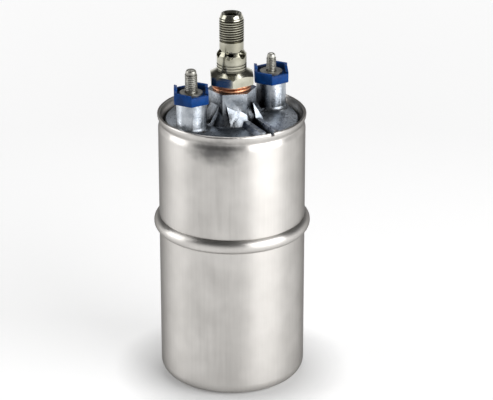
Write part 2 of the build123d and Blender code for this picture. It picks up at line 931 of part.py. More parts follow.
# Armature: shaft, laminated core, windings and commutator
commutator_hub_radius = commutator_radius - commutator_bar_depth
commutator_hub_top = hub_base - thrust_gap - commutator_play

with BuildPart() as armature_shaft:
    disc(shaft_radius, shaft_foot, shaft_top - shaft_foot)
    chamfer(armature_shaft.edges().filter_by(GeomType.CIRCLE), edge_round)
finish(armature_shaft.part, "armature_shaft")


def slot_outline(inset):
    """A winding slot of the core, or the wire that fills it when inset is more than nothing."""
    slot_outer = core_radius - core_tooth_tip
    half_inner = core_slot_inner_width / 2 - inset
    half_outer = core_slot_outer_width / 2 - inset
    with BuildLine() as outline:
        Polyline(
            (core_slot_inner + inset, -half_inner),
            (slot_outer - inset, -half_outer),
            (slot_outer - inset, half_outer),
            (core_slot_inner + inset, half_inner),
            close=True,
        )
    make_face(outline.edges())


with BuildPart() as armature_core:
    disc(core_radius, core_base, core_length, shaft_radius + fit_gap)
    for slot_number in range(core_slot_count):
        turned = Plane(origin=(0, 0, core_base)).rotated((0, 0, 360 * slot_number / core_slot_count))
        with BuildSketch(turned):
            slot_outline(0)
            with Locations((core_radius - core_tooth_tip, 0)):
                Rectangle(3 * core_tooth_tip, core_slot_opening)
        extrude(amount=core_length, mode=Mode.SUBTRACT)
finish(armature_core.part, "armature_core")

with BuildPart() as armature_windings:
    for slot_number in range(core_slot_count):
        turned = Plane(origin=(0, 0, core_base - winding_overhang / 2))
        with BuildSketch(turned.rotated((0, 0, 360 * slot_number / core_slot_count))):
            slot_outline(winding_gap)
        extrude(amount=core_length + winding_overhang)
    winding_inner = core_slot_inner + winding_gap
    winding_outer = core_radius - core_tooth_tip - winding_gap
    winding_round = winding_round_share * (winding_outer - winding_inner)
    overhang = winding_overhang - winding_gap
    for ring_centre in (
        core_base - winding_gap - overhang / 2,
        core_top + winding_gap + overhang / 2,
    ):
        with BuildSketch(Plane.XZ):
            with Locations(((winding_inner + winding_outer) / 2, ring_centre)):
                RectangleRounded(winding_outer - winding_inner, overhang, winding_round)
        revolve(axis=Axis.Z)
finish(armature_windings.part, "armature_windings")

with BuildPart() as commutator_hub:
    disc(
        commutator_hub_radius - fit_gap,
        commutator_base - riser_height,
        commutator_hub_top - commutator_base + riser_height,
        shaft_radius + fit_gap,
    )
finish(commutator_hub.part, "commutator_hub")

bar_arc = 360 / commutator_bar_count
bar_gap_arc = 360 * bar_split / (2 * pi * commutator_radius)

with BuildPart() as commutator_bars:
    for bar_number in range(commutator_bar_count):
        with BuildSketch(Plane.XY.offset(commutator_base)):
            ring_sector(
                commutator_hub_radius,
                commutator_radius,
                bar_arc * bar_number + bar_gap_arc / 2,
                bar_arc - bar_gap_arc,
            )
        extrude(amount=commutator_length)
finish(commutator_bars.part, "commutator_bars")

# Bearings and the thrust washers on the shaft
with BuildPart() as upper_bearing:
    disc(bearing_radius, hub_base, bearing_length, shaft_radius + running_gap)
finish(upper_bearing.part, "upper_bearing")

with BuildPart() as lower_bearing:
    disc(bearing_radius, inlet_plate_base, inlet_plate_thickness, shaft_radius + running_gap)
finish(lower_bearing.part, "lower_bearing")

with BuildPart() as thrust_washer:
    disc(bearing_radius, commutator_hub_top, thrust_gap, shaft_radius + fit_gap)
finish(thrust_washer.part, "thrust_washer")

# Pump section: coupling, rotor and rollers turn inside the eccentric ring
coupling_base = outlet_plate_base + running_gap
rotor_base = pump_ring_base + running_gap
rotor_height = pump_ring_height - 2 * running_gap
roller_spread = rotor_radius - roller_radius

with BuildPart() as drive_coupling:
    disc(coupling_radius, coupling_base, coupling_length, shaft_radius + fit_gap)
    with BuildSketch(Plane.XY.offset(coupling_base - coupling_finger_length)):
        with PolarLocations(coupling_finger_spread, 2):
            Circle(coupling_finger_radius)
    extrude(amount=coupling_finger_length + overlap)
finish(drive_coupling.part, "drive_coupling")

with BuildPart() as pump_rotor:
    disc(rotor_radius, rotor_base, rotor_height, shaft_radius + running_gap)
    with BuildSketch(Plane.XY.offset(rotor_base)):
        with PolarLocations(roller_spread, roller_count, start_angle=180 / roller_count):
            Circle(roller_radius + seat_gap)
            Rectangle(2 * roller_radius, 2 * (roller_radius + seat_gap), align=(Align.MIN, Align.CENTER))
    extrude(amount=rotor_height, mode=Mode.SUBTRACT)
    with BuildSketch(Plane.XY.offset(outlet_plate_base - coupling_finger_length - finger_end_gap)):
        with PolarLocations(coupling_finger_spread, 2):
            Circle(coupling_finger_radius + seat_gap)
    extrude(amount=coupling_finger_length + finger_end_gap, mode=Mode.SUBTRACT)
finish(pump_rotor.part, "pump_rotor")

with BuildPart() as pump_rollers:
    with BuildSketch(Plane.XY.offset(rotor_base)):
        with PolarLocations(roller_spread, roller_count, start_angle=180 / roller_count):
            Circle(roller_radius)
    extrude(amount=rotor_height)
finish(pump_rollers.part, "pump_rollers")


def plate_holes(screw_hole_radius):
    """Screw holes and the relief passage that run through the pump section."""
    with PolarLocations(plate_bolt_circle, plate_screw_count, start_angle=plate_screw_turn):
        Circle(screw_hole_radius, mode=Mode.SUBTRACT)
    with Locations((0, plate_bolt_circle)):
        Circle(relief_hole_radius, mode=Mode.SUBTRACT)


with BuildPart() as pump_ring:
    with BuildSketch(Plane.XY.offset(pump_ring_base)):
        Circle(fit_radius)
        with Locations((chamber_offset, 0)):
            Circle(chamber_radius, mode=Mode.SUBTRACT)
        plate_holes(plate_screw_radius + slide_gap)
    extrude(amount=pump_ring_height)
finish(pump_ring.part, "pump_ring")

with BuildPart() as inlet_plate:
    with BuildSketch(Plane.XY.offset(inlet_plate_base)):
        Circle(fit_radius)
        Circle(bearing_radius + fit_gap, mode=Mode.SUBTRACT)
        SlotArc(CenterArc((0, 0), port_radius, -90 - port_arc / 2, port_arc), port_width, mode=Mode.SUBTRACT)
        plate_holes(plate_screw_radius + fit_gap)
    extrude(amount=inlet_plate_thickness)
finish(inlet_plate.part, "inlet_plate")

with BuildPart() as outlet_plate:
    with BuildSketch(Plane.XY.offset(outlet_plate_base)):
        Circle(fit_radius)
        Circle(coupling_radius + slide_gap, mode=Mode.SUBTRACT)
        SlotArc(CenterArc((0, 0), port_radius, 90 - port_arc / 2, port_arc), port_width, mode=Mode.SUBTRACT)
        plate_holes(plate_screw_radius + slide_gap)
    extrude(amount=outlet_plate_thickness)
finish(outlet_plate.part, "outlet_plate")

with BuildPart() as plate_screws:
    with BuildSketch(Plane.XY.offset(inlet_plate_base + seat_gap)):
        with PolarLocations(plate_bolt_circle, plate_screw_count, start_angle=plate_screw_turn):
            Circle(plate_screw_radius)
    extrude(amount=flux_ring_base - inlet_plate_base)
    with BuildSketch(Plane.XY.offset(flux_ring_base)):
        with PolarLocations(plate_bolt_circle, plate_screw_count, start_angle=plate_screw_turn):
            Circle(plate_screw_head)
    extrude(amount=plate_screw_head_height)
finish(plate_screws.part, "plate_screws")

# Relief valve: ball pressed up against the hole in the inlet plate
relief_ball_drop = sqrt(relief_ball_radius**2 - relief_hole_radius**2) + seat_gap
relief_ball_height = inlet_plate_base - relief_ball_drop
relief_bore_floor = inlet_cover_height - relief_bore_depth
relief_spring_top = relief_ball_height - sqrt(
    relief_ball_radius**2 - (relief_spring_radius - relief_spring_wire / 2) ** 2
)

with BuildPart() as relief_ball:
    with Locations((0, plate_bolt_circle, relief_ball_height)):
        Sphere(relief_ball_radius)
finish(relief_ball.part, "relief_ball")

centred_relief_spring = coil_spring(
    relief_spring_radius,
    relief_spring_wire,
    relief_bore_floor + seat_gap,
    relief_spring_top - seat_gap,
    relief_spring_turns,
)
with BuildPart() as relief_spring:
    add(centred_relief_spring.moved(Location((0, plate_bolt_circle, 0))))
finish(relief_spring.part, "relief_spring")

# Inlet cover: fills the can's bottom, with the threaded inlet port in its neck
inlet_cover_base = can_wall + fit_gap
inlet_corner = can_bottom_corner - can_wall
inlet_thread_end = inlet_recess + inlet_thread_depth

with BuildPart() as inlet_cover:
    with BuildSketch(Plane.XZ):
        with BuildLine():
            Polyline(
                (0, inlet_recess),
                (inlet_neck_radius, inlet_recess),
                (inlet_neck_radius, inlet_cover_base),
                (fit_radius - inlet_corner, inlet_cover_base),
            )
            CenterArc((fit_radius - inlet_corner, inlet_cover_base + inlet_corner), inlet_corner, -90, 90)
            Polyline(
                (fit_radius, inlet_cover_base + inlet_corner),
                (fit_radius, inlet_cover_height),
                (0, inlet_cover_height),
                (0, inlet_recess),
            )
        make_face()
    revolve(axis=Axis.Z)
    with BuildSketch(Plane.XY.offset(inlet_recess)):
        Circle(inlet_thread_bore)
    extrude(amount=inlet_thread_depth, mode=Mode.SUBTRACT)
    with BuildSketch(Plane.XY.offset(inlet_thread_end)):
        Circle(inlet_hole_radius)
    extrude(amount=inlet_cover_height, mode=Mode.SUBTRACT)
    with BuildSketch(Plane.XY.offset(inlet_cover_height - suction_recess_depth)):
        Circle(suction_recess_radius)
    extrude(amount=inlet_cover_height, mode=Mode.SUBTRACT)
    with BuildSketch(Plane.XY.offset(relief_bore_floor)):
        with Locations((0, plate_bolt_circle)):
            Circle(relief_bore_radius)
    extrude(amount=inlet_cover_height, mode=Mode.SUBTRACT)
    with BuildSketch(Plane.XZ):
        with Locations((fit_radius, inlet_seal_height)):
            Rectangle(2 * seal_section, seal_section + seal_groove_play)
    revolve(axis=Axis.Z, mode=Mode.SUBTRACT)
finish(inlet_cover.part, "inlet_cover")

# Inlet strainer: perforated disc over the hole above the port
strainer_seat = inlet_cover_height - suction_recess_depth

with BuildPart() as inlet_strainer:
    with BuildSketch(Plane.XY.offset(strainer_seat)):
        Circle(strainer_radius)
        with PolarLocations(strainer_hole_ring, strainer_hole_count):
            Circle(strainer_hole_radius, mode=Mode.SUBTRACT)
        with PolarLocations(2 * strainer_hole_ring, 2 * strainer_hole_count):
            Circle(strainer_hole_radius, mode=Mode.SUBTRACT)
    extrude(amount=strainer_thickness)
finish(inlet_strainer.part, "inlet_strainer")
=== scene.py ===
import json
from math import cos, pi, radians, sin, tan

import bpy
from bpy.props import FloatProperty, FloatVectorProperty, PointerProperty
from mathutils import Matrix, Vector


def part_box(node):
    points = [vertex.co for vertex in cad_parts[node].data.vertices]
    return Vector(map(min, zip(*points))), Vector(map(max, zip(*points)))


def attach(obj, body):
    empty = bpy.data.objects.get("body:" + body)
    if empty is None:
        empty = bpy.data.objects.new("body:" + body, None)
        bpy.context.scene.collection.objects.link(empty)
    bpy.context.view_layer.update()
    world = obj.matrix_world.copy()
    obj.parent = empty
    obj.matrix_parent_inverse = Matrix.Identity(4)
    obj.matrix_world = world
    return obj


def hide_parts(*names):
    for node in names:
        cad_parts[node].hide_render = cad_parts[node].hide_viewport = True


bl_info = {
    "name": "Roller-cell fuel pump",
    "version": (1, 0, 0),
    "blender": (4, 5, 0),
    "location": "3D View > Sidebar > Fuel Pump",
    "description": "Dresses the packed fuel pump with threads, rounded castings, finishes and a studio",
    "category": "Object",
}

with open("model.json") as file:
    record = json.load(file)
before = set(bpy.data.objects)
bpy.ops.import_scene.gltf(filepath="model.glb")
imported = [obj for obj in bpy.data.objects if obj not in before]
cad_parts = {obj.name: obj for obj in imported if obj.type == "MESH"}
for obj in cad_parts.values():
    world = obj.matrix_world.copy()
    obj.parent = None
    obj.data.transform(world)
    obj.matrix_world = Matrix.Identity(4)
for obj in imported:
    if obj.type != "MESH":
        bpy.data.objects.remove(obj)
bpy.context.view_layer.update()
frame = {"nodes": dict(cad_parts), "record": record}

MM = 0.001

# Places on the pump, in millimetres above the plane it stands on
SPIGOT_BASE = 113.1
VALVE_BORE_TOP = 125.9
HEX_BASE = 127.8
NECK_BASE = 133.2
CONE_BASE = 139.9
SHANK_BASE = 141.3
THREAD_BASE = 145.7
POINT_BASE = 154.1
OUTLET_TOP = 156.6
COVER_FACE = 112.3
TOWER_TOP = 123.9
CROSS_HOLE_HEIGHT = 140.25

# Sizes across the pump, in millimetres
TOWER_SPREAD = 20.6
SPIGOT_RADIUS = 6.0
NECK_RADIUS = 6.05
NECK_GROOVE_DEPTH = 0.3
NECK_GROOVE_PITCH = 1.15
NECK_GROOVED_LENGTH = 3.6
SHANK_RADIUS = 4.93
THREAD_RADIUS = 5.0
THREAD_CORE_RADIUS = 4.3
HEX_CORNER = 8.5 / cos(radians(30))
VALVE_BORE_RADIUS = 4.3
OUTLET_BORE_RADIUS = 2.2
SINK_RADIUS = 2.6
SINK_MOUTH_RADIUS = 3.4
CROSS_HOLE_RADIUS = 1.7
LARGE_STUD_RADIUS = 2.5
SMALL_STUD_RADIUS = 2.0
STUD_HEAD_RADIUS = 3.3
STUD_HEAD_HEIGHT = 2.0

# Turns about the pump's axis
HEX_TURN = radians(55.0)
CROSS_HOLE_TURN = radians(-18.0)

# Painted dark reflection under the rim: its middle and its reach, in millimetres
DARK_REFLECTION_PLACE = (-23.1, -19.1, 108.2)
DARK_REFLECTION_REACH = (15.0, 15.0, 7.5)

# Camera: its place in metres, its turn, and its azimuth in degrees
CAMERA_PLACE = (-0.5217, -0.6584, 0.4294)
CAMERA_TURN = (radians(67.17), 0.0, radians(-38.8))
CAMERA_AZIMUTH = -38.4

# Softboxes: degrees to the right of the camera, then reach from the axis, height and size in metres
RIGHT_SOFTBOX = (54, 0.62, 0.34, (0.62, 0.6))
LEFT_SOFTBOX = (-90, 0.62, 0.34, (0.40, 0.6))
TOP_SOFTBOX = (180, 0.5, 1.15, (0.8, 0.5))
PUMP_MIDDLE = Vector((0, 0, 0.07))


def linear(hex_colour):
    """An sRGB colour such as "#c8c6c2" as linear red, green, blue and alpha."""
    channels = [int(hex_colour[i:i + 2], 16) / 255 for i in (1, 3, 5)]
    curve = [c / 12.92 if c <= 0.04045 else ((c + 0.055) / 1.055) ** 2.4 for c in channels]
    return (*curve, 1.0)


# Modelling helpers


def deselect():
    """Leave edit mode and select nothing."""
    if bpy.context.mode != "OBJECT":
        bpy.ops.object.mode_set(mode="OBJECT")
    bpy.ops.object.select_all(action="DESELECT")


def pick(piece):
    """Make piece the only selected and active object."""
    deselect()
    piece.select_set(True)
    bpy.context.view_layer.objects.active = piece


def place_in_mesh(piece):
    """Move the object's place, turn and size into its mesh."""
    pick(piece)
    bpy.ops.object.transform_apply(location=True, rotation=True, scale=True)


def face_outwards(piece):
    """Merge doubled points and point every face outwards."""
    pick(piece)
    bpy.ops.object.mode_set(mode="EDIT")
    bpy.ops.mesh.select_all(action="SELECT")
    bpy.ops.mesh.remove_doubles(threshold=0.000001)
    bpy.ops.mesh.normals_make_consistent(inside=False)
    bpy.ops.object.mode_set(mode="OBJECT")


def smooth(piece, angle=35.0):
    """Shade smooth except across edges sharper than angle, in degrees."""
    pick(piece)
    bpy.ops.object.shade_smooth_by_angle(angle=radians(angle))


def turned(name, rings, segments=96, centre=(0.0, 0.0)):
    """A solid turned on a lathe: a disc drawn up through each (radius, height), in mm."""
    deselect()
    radius, height = rings[0]
    x, y = centre[0] * MM, centre[1] * MM
    bpy.ops.mesh.primitive_circle_add(
        vertices=segments, radius=radius * MM, fill_type="NGON", location=(x, y, height * MM)
    )
    piece = bpy.context.object
    piece.name = name
    place_in_mesh(piece)
    bpy.ops.object.mode_set(mode="EDIT")
    bpy.ops.mesh.select_all(action="SELECT")
    for next_radius, next_height in rings[1:]:
        rise = (next_height - height) * MM
        bpy.ops.mesh.extrude_region_move(TRANSFORM_OT_translate={"value": (0, 0, rise)})
        size = next_radius / radius
        bpy.ops.transform.resize(value=(size, size, 1), center_override=(x, y, next_height * MM))
        radius, height = next_radius, next_height
    bpy.ops.object.mode_set(mode="OBJECT")
    face_outwards(piece)
    return piece


def boolean(piece, other, operation):
    """Cut, join or trim piece with other, which is used up."""
    pick(piece)
    modifier = piece.modifiers.new(operation.title(), "BOOLEAN")
    modifier.operation = operation
    modifier.solver = "EXACT"
    modifier.object = other
    bpy.ops.object.modifier_apply(modifier=modifier.name)
    bpy.data.objects.remove(other, do_unlink=True)


def joined(name, *pieces):
    """Several shells as one object."""
    deselect()
    for piece in pieces:
        piece.select_set(True)
    bpy.context.view_layer.objects.active = pieces[0]
    bpy.ops.object.join()
    piece = bpy.context.object
    piece.name = name
    return piece


def threaded(name, major, pitch, depth, base, top, centre=(0.0, 0.0), segments=48):
    """A plain length of screw thread between two heights: one tooth wound up a helix, in mm."""
    deselect()
    x, y = centre[0] * MM, centre[1] * MM
    # The odd start keeps the helix's points off the planes that trim it
    start = (base - 2.037 * pitch) * MM
    bpy.ops.mesh.primitive_plane_add(
        size=1,
        location=((major - depth / 2) * MM, 0, start),
        rotation=(pi / 2, 0, 0),
    )
    piece = bpy.context.object
    piece.name = name
    piece.scale = (depth * MM, pitch * MM, 1)
    place_in_mesh(piece)
    middle = (major - depth / 2) * MM
    mesh = piece.data
    for edge in mesh.edges:
        xs = [mesh.vertices[v].co.x for v in edge.vertices]
        edge.select = min(xs) > middle
    for polygon in mesh.polygons:
        polygon.select = False
    for vertex in mesh.vertices:
        vertex.select = vertex.co.x > middle
    bpy.ops.object.mode_set(mode="EDIT")
    bpy.ops.mesh.select_mode(type="EDGE")
    bpy.ops.transform.resize(value=(1, 1, 0.22), center_override=(middle, 0, start))
    bpy.ops.mesh.select_all(action="INVERT")
    bpy.ops.object.mode_set(mode="OBJECT")
    for edge in mesh.edges:
        xs = [mesh.vertices[v].co.x for v in edge.vertices]
        edge.select = max(xs) < middle
    bpy.ops.object.mode_set(mode="EDIT")
    bpy.ops.mesh.delete(type="EDGE")
    bpy.ops.object.mode_set(mode="OBJECT")
    screw = piece.modifiers.new("Thread", "SCREW")
    screw.axis = "Z"
    screw.angle = 2 * pi
    screw.screw_offset = pitch * MM
    screw.iterations = int((top - base) / pitch) + 5
    screw.steps = segments
    screw.render_steps = segments
    screw.use_merge_vertices = True
    screw.merge_threshold = 0.000001
    bpy.ops.object.modifier_apply(modifier=screw.name)
    bpy.ops.object.mode_set(mode="EDIT")
    bpy.ops.mesh.select_all(action="SELECT")
    bpy.ops.mesh.remove_doubles(threshold=0.000001)
    for height, upper in ((base, False), (top, True)):
        bpy.ops.mesh.select_all(action="SELECT")
        bpy.ops.mesh.bisect(
            plane_co=(0, 0, height * MM),
            plane_no=(0, 0, 1),
            use_fill=True,
            clear_inner=not upper,
            clear_outer=upper,
        )
    bpy.ops.object.mode_set(mode="OBJECT")
    piece.location = (x, y, 0)
    place_in_mesh(piece)
    face_outwards(piece)
    return piece


def rounded_copy(node, name, width, segments=2, angle=32.0):
    """A copy of a CAD node's mesh with its sharp edges rounded, width in mm."""
    pick(frame["nodes"][node])
    bpy.ops.object.duplicate()
    piece = bpy.context.object
    piece.name = name
    bpy.ops.object.mode_set(mode="EDIT")
    bpy.ops.mesh.select_all(action="SELECT")
    bpy.ops.mesh.remove_doubles(threshold=0.000002)
    bpy.ops.mesh.dissolve_limited(angle_limit=radians(0.6))
    bpy.ops.object.mode_set(mode="OBJECT")
    bevel = piece.modifiers.new("Rounding", "BEVEL")
    bevel.width = width * MM
    bevel.segments = segments
    bevel.limit_method = "ANGLE"
    bevel.angle_limit = radians(angle)
    bevel.use_clamp_overlap = True
    bevel.miter_outer = "MITER_ARC"
    bpy.ops.object.modifier_apply(modifier=bevel.name)
    smooth(piece, 40)
    return piece


def dress(piece, node, slot):
    """Give a finished piece its finish and the housing as its body, and hide the node that it stands for."""
    piece.data.materials.clear()
    piece.data.materials.append(materials[slot])
    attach(piece, "housing")
    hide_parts(node)


# Finishes


def add(tree, kind, settings=None, links=None):
    """Add a shader node, set its sockets or options, and link its inputs."""
    node = tree.nodes.new(kind)
    for key, value in (settings or {}).items():
        if isinstance(key, int) or key in node.inputs:
            node.inputs[key].default_value = value
        else:
            setattr(node, key, value)
    for key, source in (links or {}).items():
        tree.links.new(source, node.inputs[key])
    return node


def new_material(name):
    """An empty node material with a Principled shader: (material, tree, shader)."""
    material = bpy.data.materials.new(name)
    material.use_nodes = True
    tree = material.node_tree
    tree.nodes.clear()
    shader = add(tree, "ShaderNodeBsdfPrincipled")
    add(tree, "ShaderNodeOutputMaterial", links={"Surface": shader.outputs["BSDF"]})
    return material, tree, shader


def scaled_noise(tree, size_mm, detail=3.0, roughness=0.55, scale=(1, 1, 1)):
    """Noise whose features are about size_mm across, in the piece's own coordinates."""
    place = add(tree, "ShaderNodeTexCoord")
    mapping = add(tree, "ShaderNodeMapping", {"Scale": scale}, {"Vector": place.outputs["Object"]})
    return add(
        tree,
        "ShaderNodeTexNoise",
        {"Scale": 1 / (size_mm * MM), "Detail": detail, "Roughness": roughness},
        {"Vector": mapping.outputs["Vector"]},
    )


def ramp(tree, source, low, high, start=0.35, end=0.65):
    """Map a noise value between start and end to a value between low and high."""
    return add(
        tree,
        "ShaderNodeMapRange",
        {"From Min": start, "From Max": end, "To Min": low, "To Max": high},
        {"Value": source},
    ).outputs["Result"]


def blend_colours(tree, factor, first, second):
    """A colour between two, each a hex colour or the output of a node."""
    mix = add(tree, "ShaderNodeMix", {"data_type": "RGBA"}, {"Factor": factor})
    colour_inputs = [s for s in mix.inputs if s.type == "RGBA"]
    for socket, colour in zip(colour_inputs, (first, second)):
        if isinstance(colour, str):
            socket.default_value = linear(colour)
        else:
            tree.links.new(colour, socket)
    return next(s for s in mix.outputs if s.type == "RGBA")


def bump(tree, height, depth_mm, strength=1.0, normal=None):
    """A bump of depth_mm for a height between 0 and 1."""
    links = {"Height": height}
    if normal:
        links["Normal"] = normal
    return add(
        tree, "ShaderNodeBump", {"Distance": depth_mm * MM, "Strength": strength}, links
    ).outputs["Normal"]


def paint_corner_shade(tree, colour, painted_shade, reach_mm, start, end):
    """The colour darkened by painted shade in corners and grooves narrower than about reach_mm.

    The painted shade is full where less than start of the surroundings is open, and ends where end is.
    """
    # Ambient occlusion finds where shade falls, and the colour is darkened there as painted shade
    hemmed = add(
        tree,
        "ShaderNodeAmbientOcclusion",
        {"samples": 8, "only_local": True, "Distance": reach_mm * MM},
    )
    return blend_colours(tree, ramp(tree, hemmed.outputs["AO"], 1, 0, start, end), colour, painted_shade)


def metal(
    name, light, dark, rough_low, rough_high, grain_mm, grain_depth,
    patch_mm=9.0, scale=(1, 1, 1), painted_shade=None,
):
    """A bare or plated metal with patchy sheen, a fine grain and, where a shade colour is given, painted
    shade in its grooves.
    """
    material, tree, shader = new_material(name)
    patches = scaled_noise(tree, patch_mm)
    grain = scaled_noise(tree, grain_mm, scale=scale)
    colour = blend_colours(tree, ramp(tree, patches.outputs["Fac"], 0, 1), light, dark)
    # Painted shade: the colour darkens in grooves and corners
    if painted_shade:
        colour = paint_corner_shade(tree, colour, painted_shade, 2.0, 0.3, 0.9)
    roughness = ramp(tree, grain.outputs["Fac"], rough_low, rough_high)
    shader.inputs["Metallic"].default_value = 1.0
    tree.links.new(colour, shader.inputs["Base Color"])
    tree.links.new(roughness, shader.inputs["Roughness"])
    tree.links.new(bump(tree, grain.outputs["Fac"], grain_depth), shader.inputs["Normal"])
    return material


def plastic(name, light, dark, roughness, grain_mm, grain_depth):
    """A moulded plastic or rubber: one pigment, slight mottling, fine mould texture, painted shade in its
    corners and recesses.
    """
    material, tree, shader = new_material(name)
    patches = scaled_noise(tree, 4.0)
    grain = scaled_noise(tree, grain_mm)
    colour = blend_colours(tree, ramp(tree, patches.outputs["Fac"], 0, 1), light, dark)
    # Painted shade: near black in the corners and recesses that ambient occlusion finds
    colour = paint_corner_shade(tree, colour, "#05080f", 9.0, 0.45, 1.0)
    shader.inputs["Specular IOR Level"].default_value = 0.15
    tree.links.new(colour, shader.inputs["Base Color"])
    tree.links.new(
        ramp(tree, grain.outputs["Fac"], roughness - 0.05, roughness + 0.08),
        shader.inputs["Roughness"],
    )
    tree.links.new(bump(tree, grain.outputs["Fac"], grain_depth), shader.inputs["Normal"])
    return material


def spot(tree, centre, reach):
    """A soft, ragged spot about a place on the piece: 1 in the middle, 0 outside, in mm."""
    place = add(tree, "ShaderNodeTexCoord")
    offset = add(
        tree,
        "ShaderNodeVectorMath",
        {"operation": "SUBTRACT", 1: [v * MM for v in centre]},
        {0: place.outputs["Object"]},
    )
    share = add(
        tree,
        "ShaderNodeVectorMath",
        {"operation": "DIVIDE", 1: [v * MM for v in reach]},
        {0: offset.outputs["Vector"]},
    )
    distance = add(tree, "ShaderNodeVectorMath", {"operation": "LENGTH"}, {0: share.outputs["Vector"]})
    ragged = scaled_noise(tree, 6.0, detail=2)
    edge = add(
        tree,
        "ShaderNodeMath",
        {"operation": "MULTIPLY_ADD", 1: 0.8},
        {0: ragged.outputs["Fac"], 2: distance.outputs["Value"]},
    )
    return add(
        tree,
        "ShaderNodeMapRange",
        {"interpolation_type": "SMOOTHSTEP", "From Min": 0.4, "From Max": 1.4, "To Min": 1.0, "To Max": 0.0},
        {"Value": edge.outputs["Value"]},
    ).outputs["Result"]


def drawn_aluminium():
    """Deep-drawn aluminium: satin, with faint streaks along the draw, handling marks and a painted dark
    reflection under the rim.
    """
    material, tree, shader = new_material("drawn_aluminium")
    streaks = scaled_noise(tree, 1.1, detail=4, scale=(1, 1, 0.045))
    clouds = scaled_noise(tree, 14.0, detail=2)
    grain = scaled_noise(tree, 0.35, detail=2)
    tone = add(
        tree,
        "ShaderNodeMath",
        {"operation": "MULTIPLY_ADD", 1: 0.45},
        {0: streaks.outputs["Fac"]},
    )
    tree.links.new(ramp(tree, clouds.outputs["Fac"], 0.0, 0.55), tone.inputs[2])
    colour = blend_colours(tree, tone.outputs["Value"], "#d3d0cc", "#c0bdb9")
    # A painted dark reflection under the rim, laid into the can's colour
    painted_reflection = spot(tree, DARK_REFLECTION_PLACE, DARK_REFLECTION_REACH)
    colour = blend_colours(tree, painted_reflection, colour, "#666564")
    roughness = add(tree, "ShaderNodeMath", {"operation": "ADD", "use_clamp": True})
    tree.links.new(ramp(tree, clouds.outputs["Fac"], 0.34, 0.39), roughness.inputs[0])
    tree.links.new(ramp(tree, streaks.outputs["Fac"], -0.03, 0.03), roughness.inputs[1])
    shader.inputs["Metallic"].default_value = 1.0
    # Fine polishing marks round the can draw the highlights out along it
    tangent = add(tree, "ShaderNodeTangent", {"direction_type": "RADIAL", "axis": "Z"})
    shader.inputs["Anisotropic"].default_value = 0.72
    shader.inputs["Specular Tint"].default_value = linear("#8a8a8a")
    shader.inputs["Anisotropic Rotation"].default_value = 0.25
    tree.links.new(tangent.outputs["Tangent"], shader.inputs["Tangent"])
    tree.links.new(colour, shader.inputs["Base Color"])
    tree.links.new(roughness.outputs["Value"], shader.inputs["Roughness"])
    normal = bump(tree, clouds.outputs["Fac"], 0.12)
    normal = bump(tree, streaks.outputs["Fac"], 0.010, normal=normal)
    normal = bump(tree, grain.outputs["Fac"], 0.006, normal=normal)
    tree.links.new(normal, shader.inputs["Normal"])
    return material


def cast_aluminium(name, light, dark, turned_face):
    """Die-cast aluminium: blue-grey, softly mottled, with painted shade in its corners; a turned face
    carries fine rings.
    """
    material, tree, shader = new_material(name)
    clouds = scaled_noise(tree, 5.0, detail=3)
    grain = scaled_noise(tree, 0.8, detail=3)
    colour = blend_colours(tree, ramp(tree, clouds.outputs["Fac"], 0, 1), light, dark)
    # Painted shade: the colour darkens in corners and between the towers, boss and lug
    colour = paint_corner_shade(tree, colour, "#121317", 2.5 if turned_face else 12.0, 0.35, 0.9)
    shader.inputs["Metallic"].default_value = 1.0
    tree.links.new(colour, shader.inputs["Base Color"])
    tree.links.new(ramp(tree, grain.outputs["Fac"], 0.26, 0.38), shader.inputs["Roughness"])
    normal = bump(tree, grain.outputs["Fac"], 0.012 if turned_face else 0.07)
    if turned_face:
        place = add(tree, "ShaderNodeTexCoord")
        flat = add(
            tree,
            "ShaderNodeVectorMath",
            {"operation": "MULTIPLY", 1: (1, 1, 0)},
            {0: place.outputs["Object"]},
        )
        reach = add(tree, "ShaderNodeVectorMath", {"operation": "LENGTH"}, {0: flat.outputs["Vector"]})
        # Tool marks 0.6 mm apart, drawn wider than real so that they show
        rings = add(
            tree,
            "ShaderNodeTexNoise",
            {"noise_dimensions": "1D", "Scale": 1 / (0.6 * MM), "Detail": 2},
            {"W": reach.outputs["Value"]},
        )
        normal = bump(tree, rings.outputs["Fac"], 0.012, normal=normal)
        tangent = add(tree, "ShaderNodeTangent", {"direction_type": "RADIAL", "axis": "Z"})
        shader.inputs["Anisotropic"].default_value = 0.7
        tree.links.new(tangent.outputs["Tangent"], shader.inputs["Tangent"])
    tree.links.new(normal, shader.inputs["Normal"])
    return material


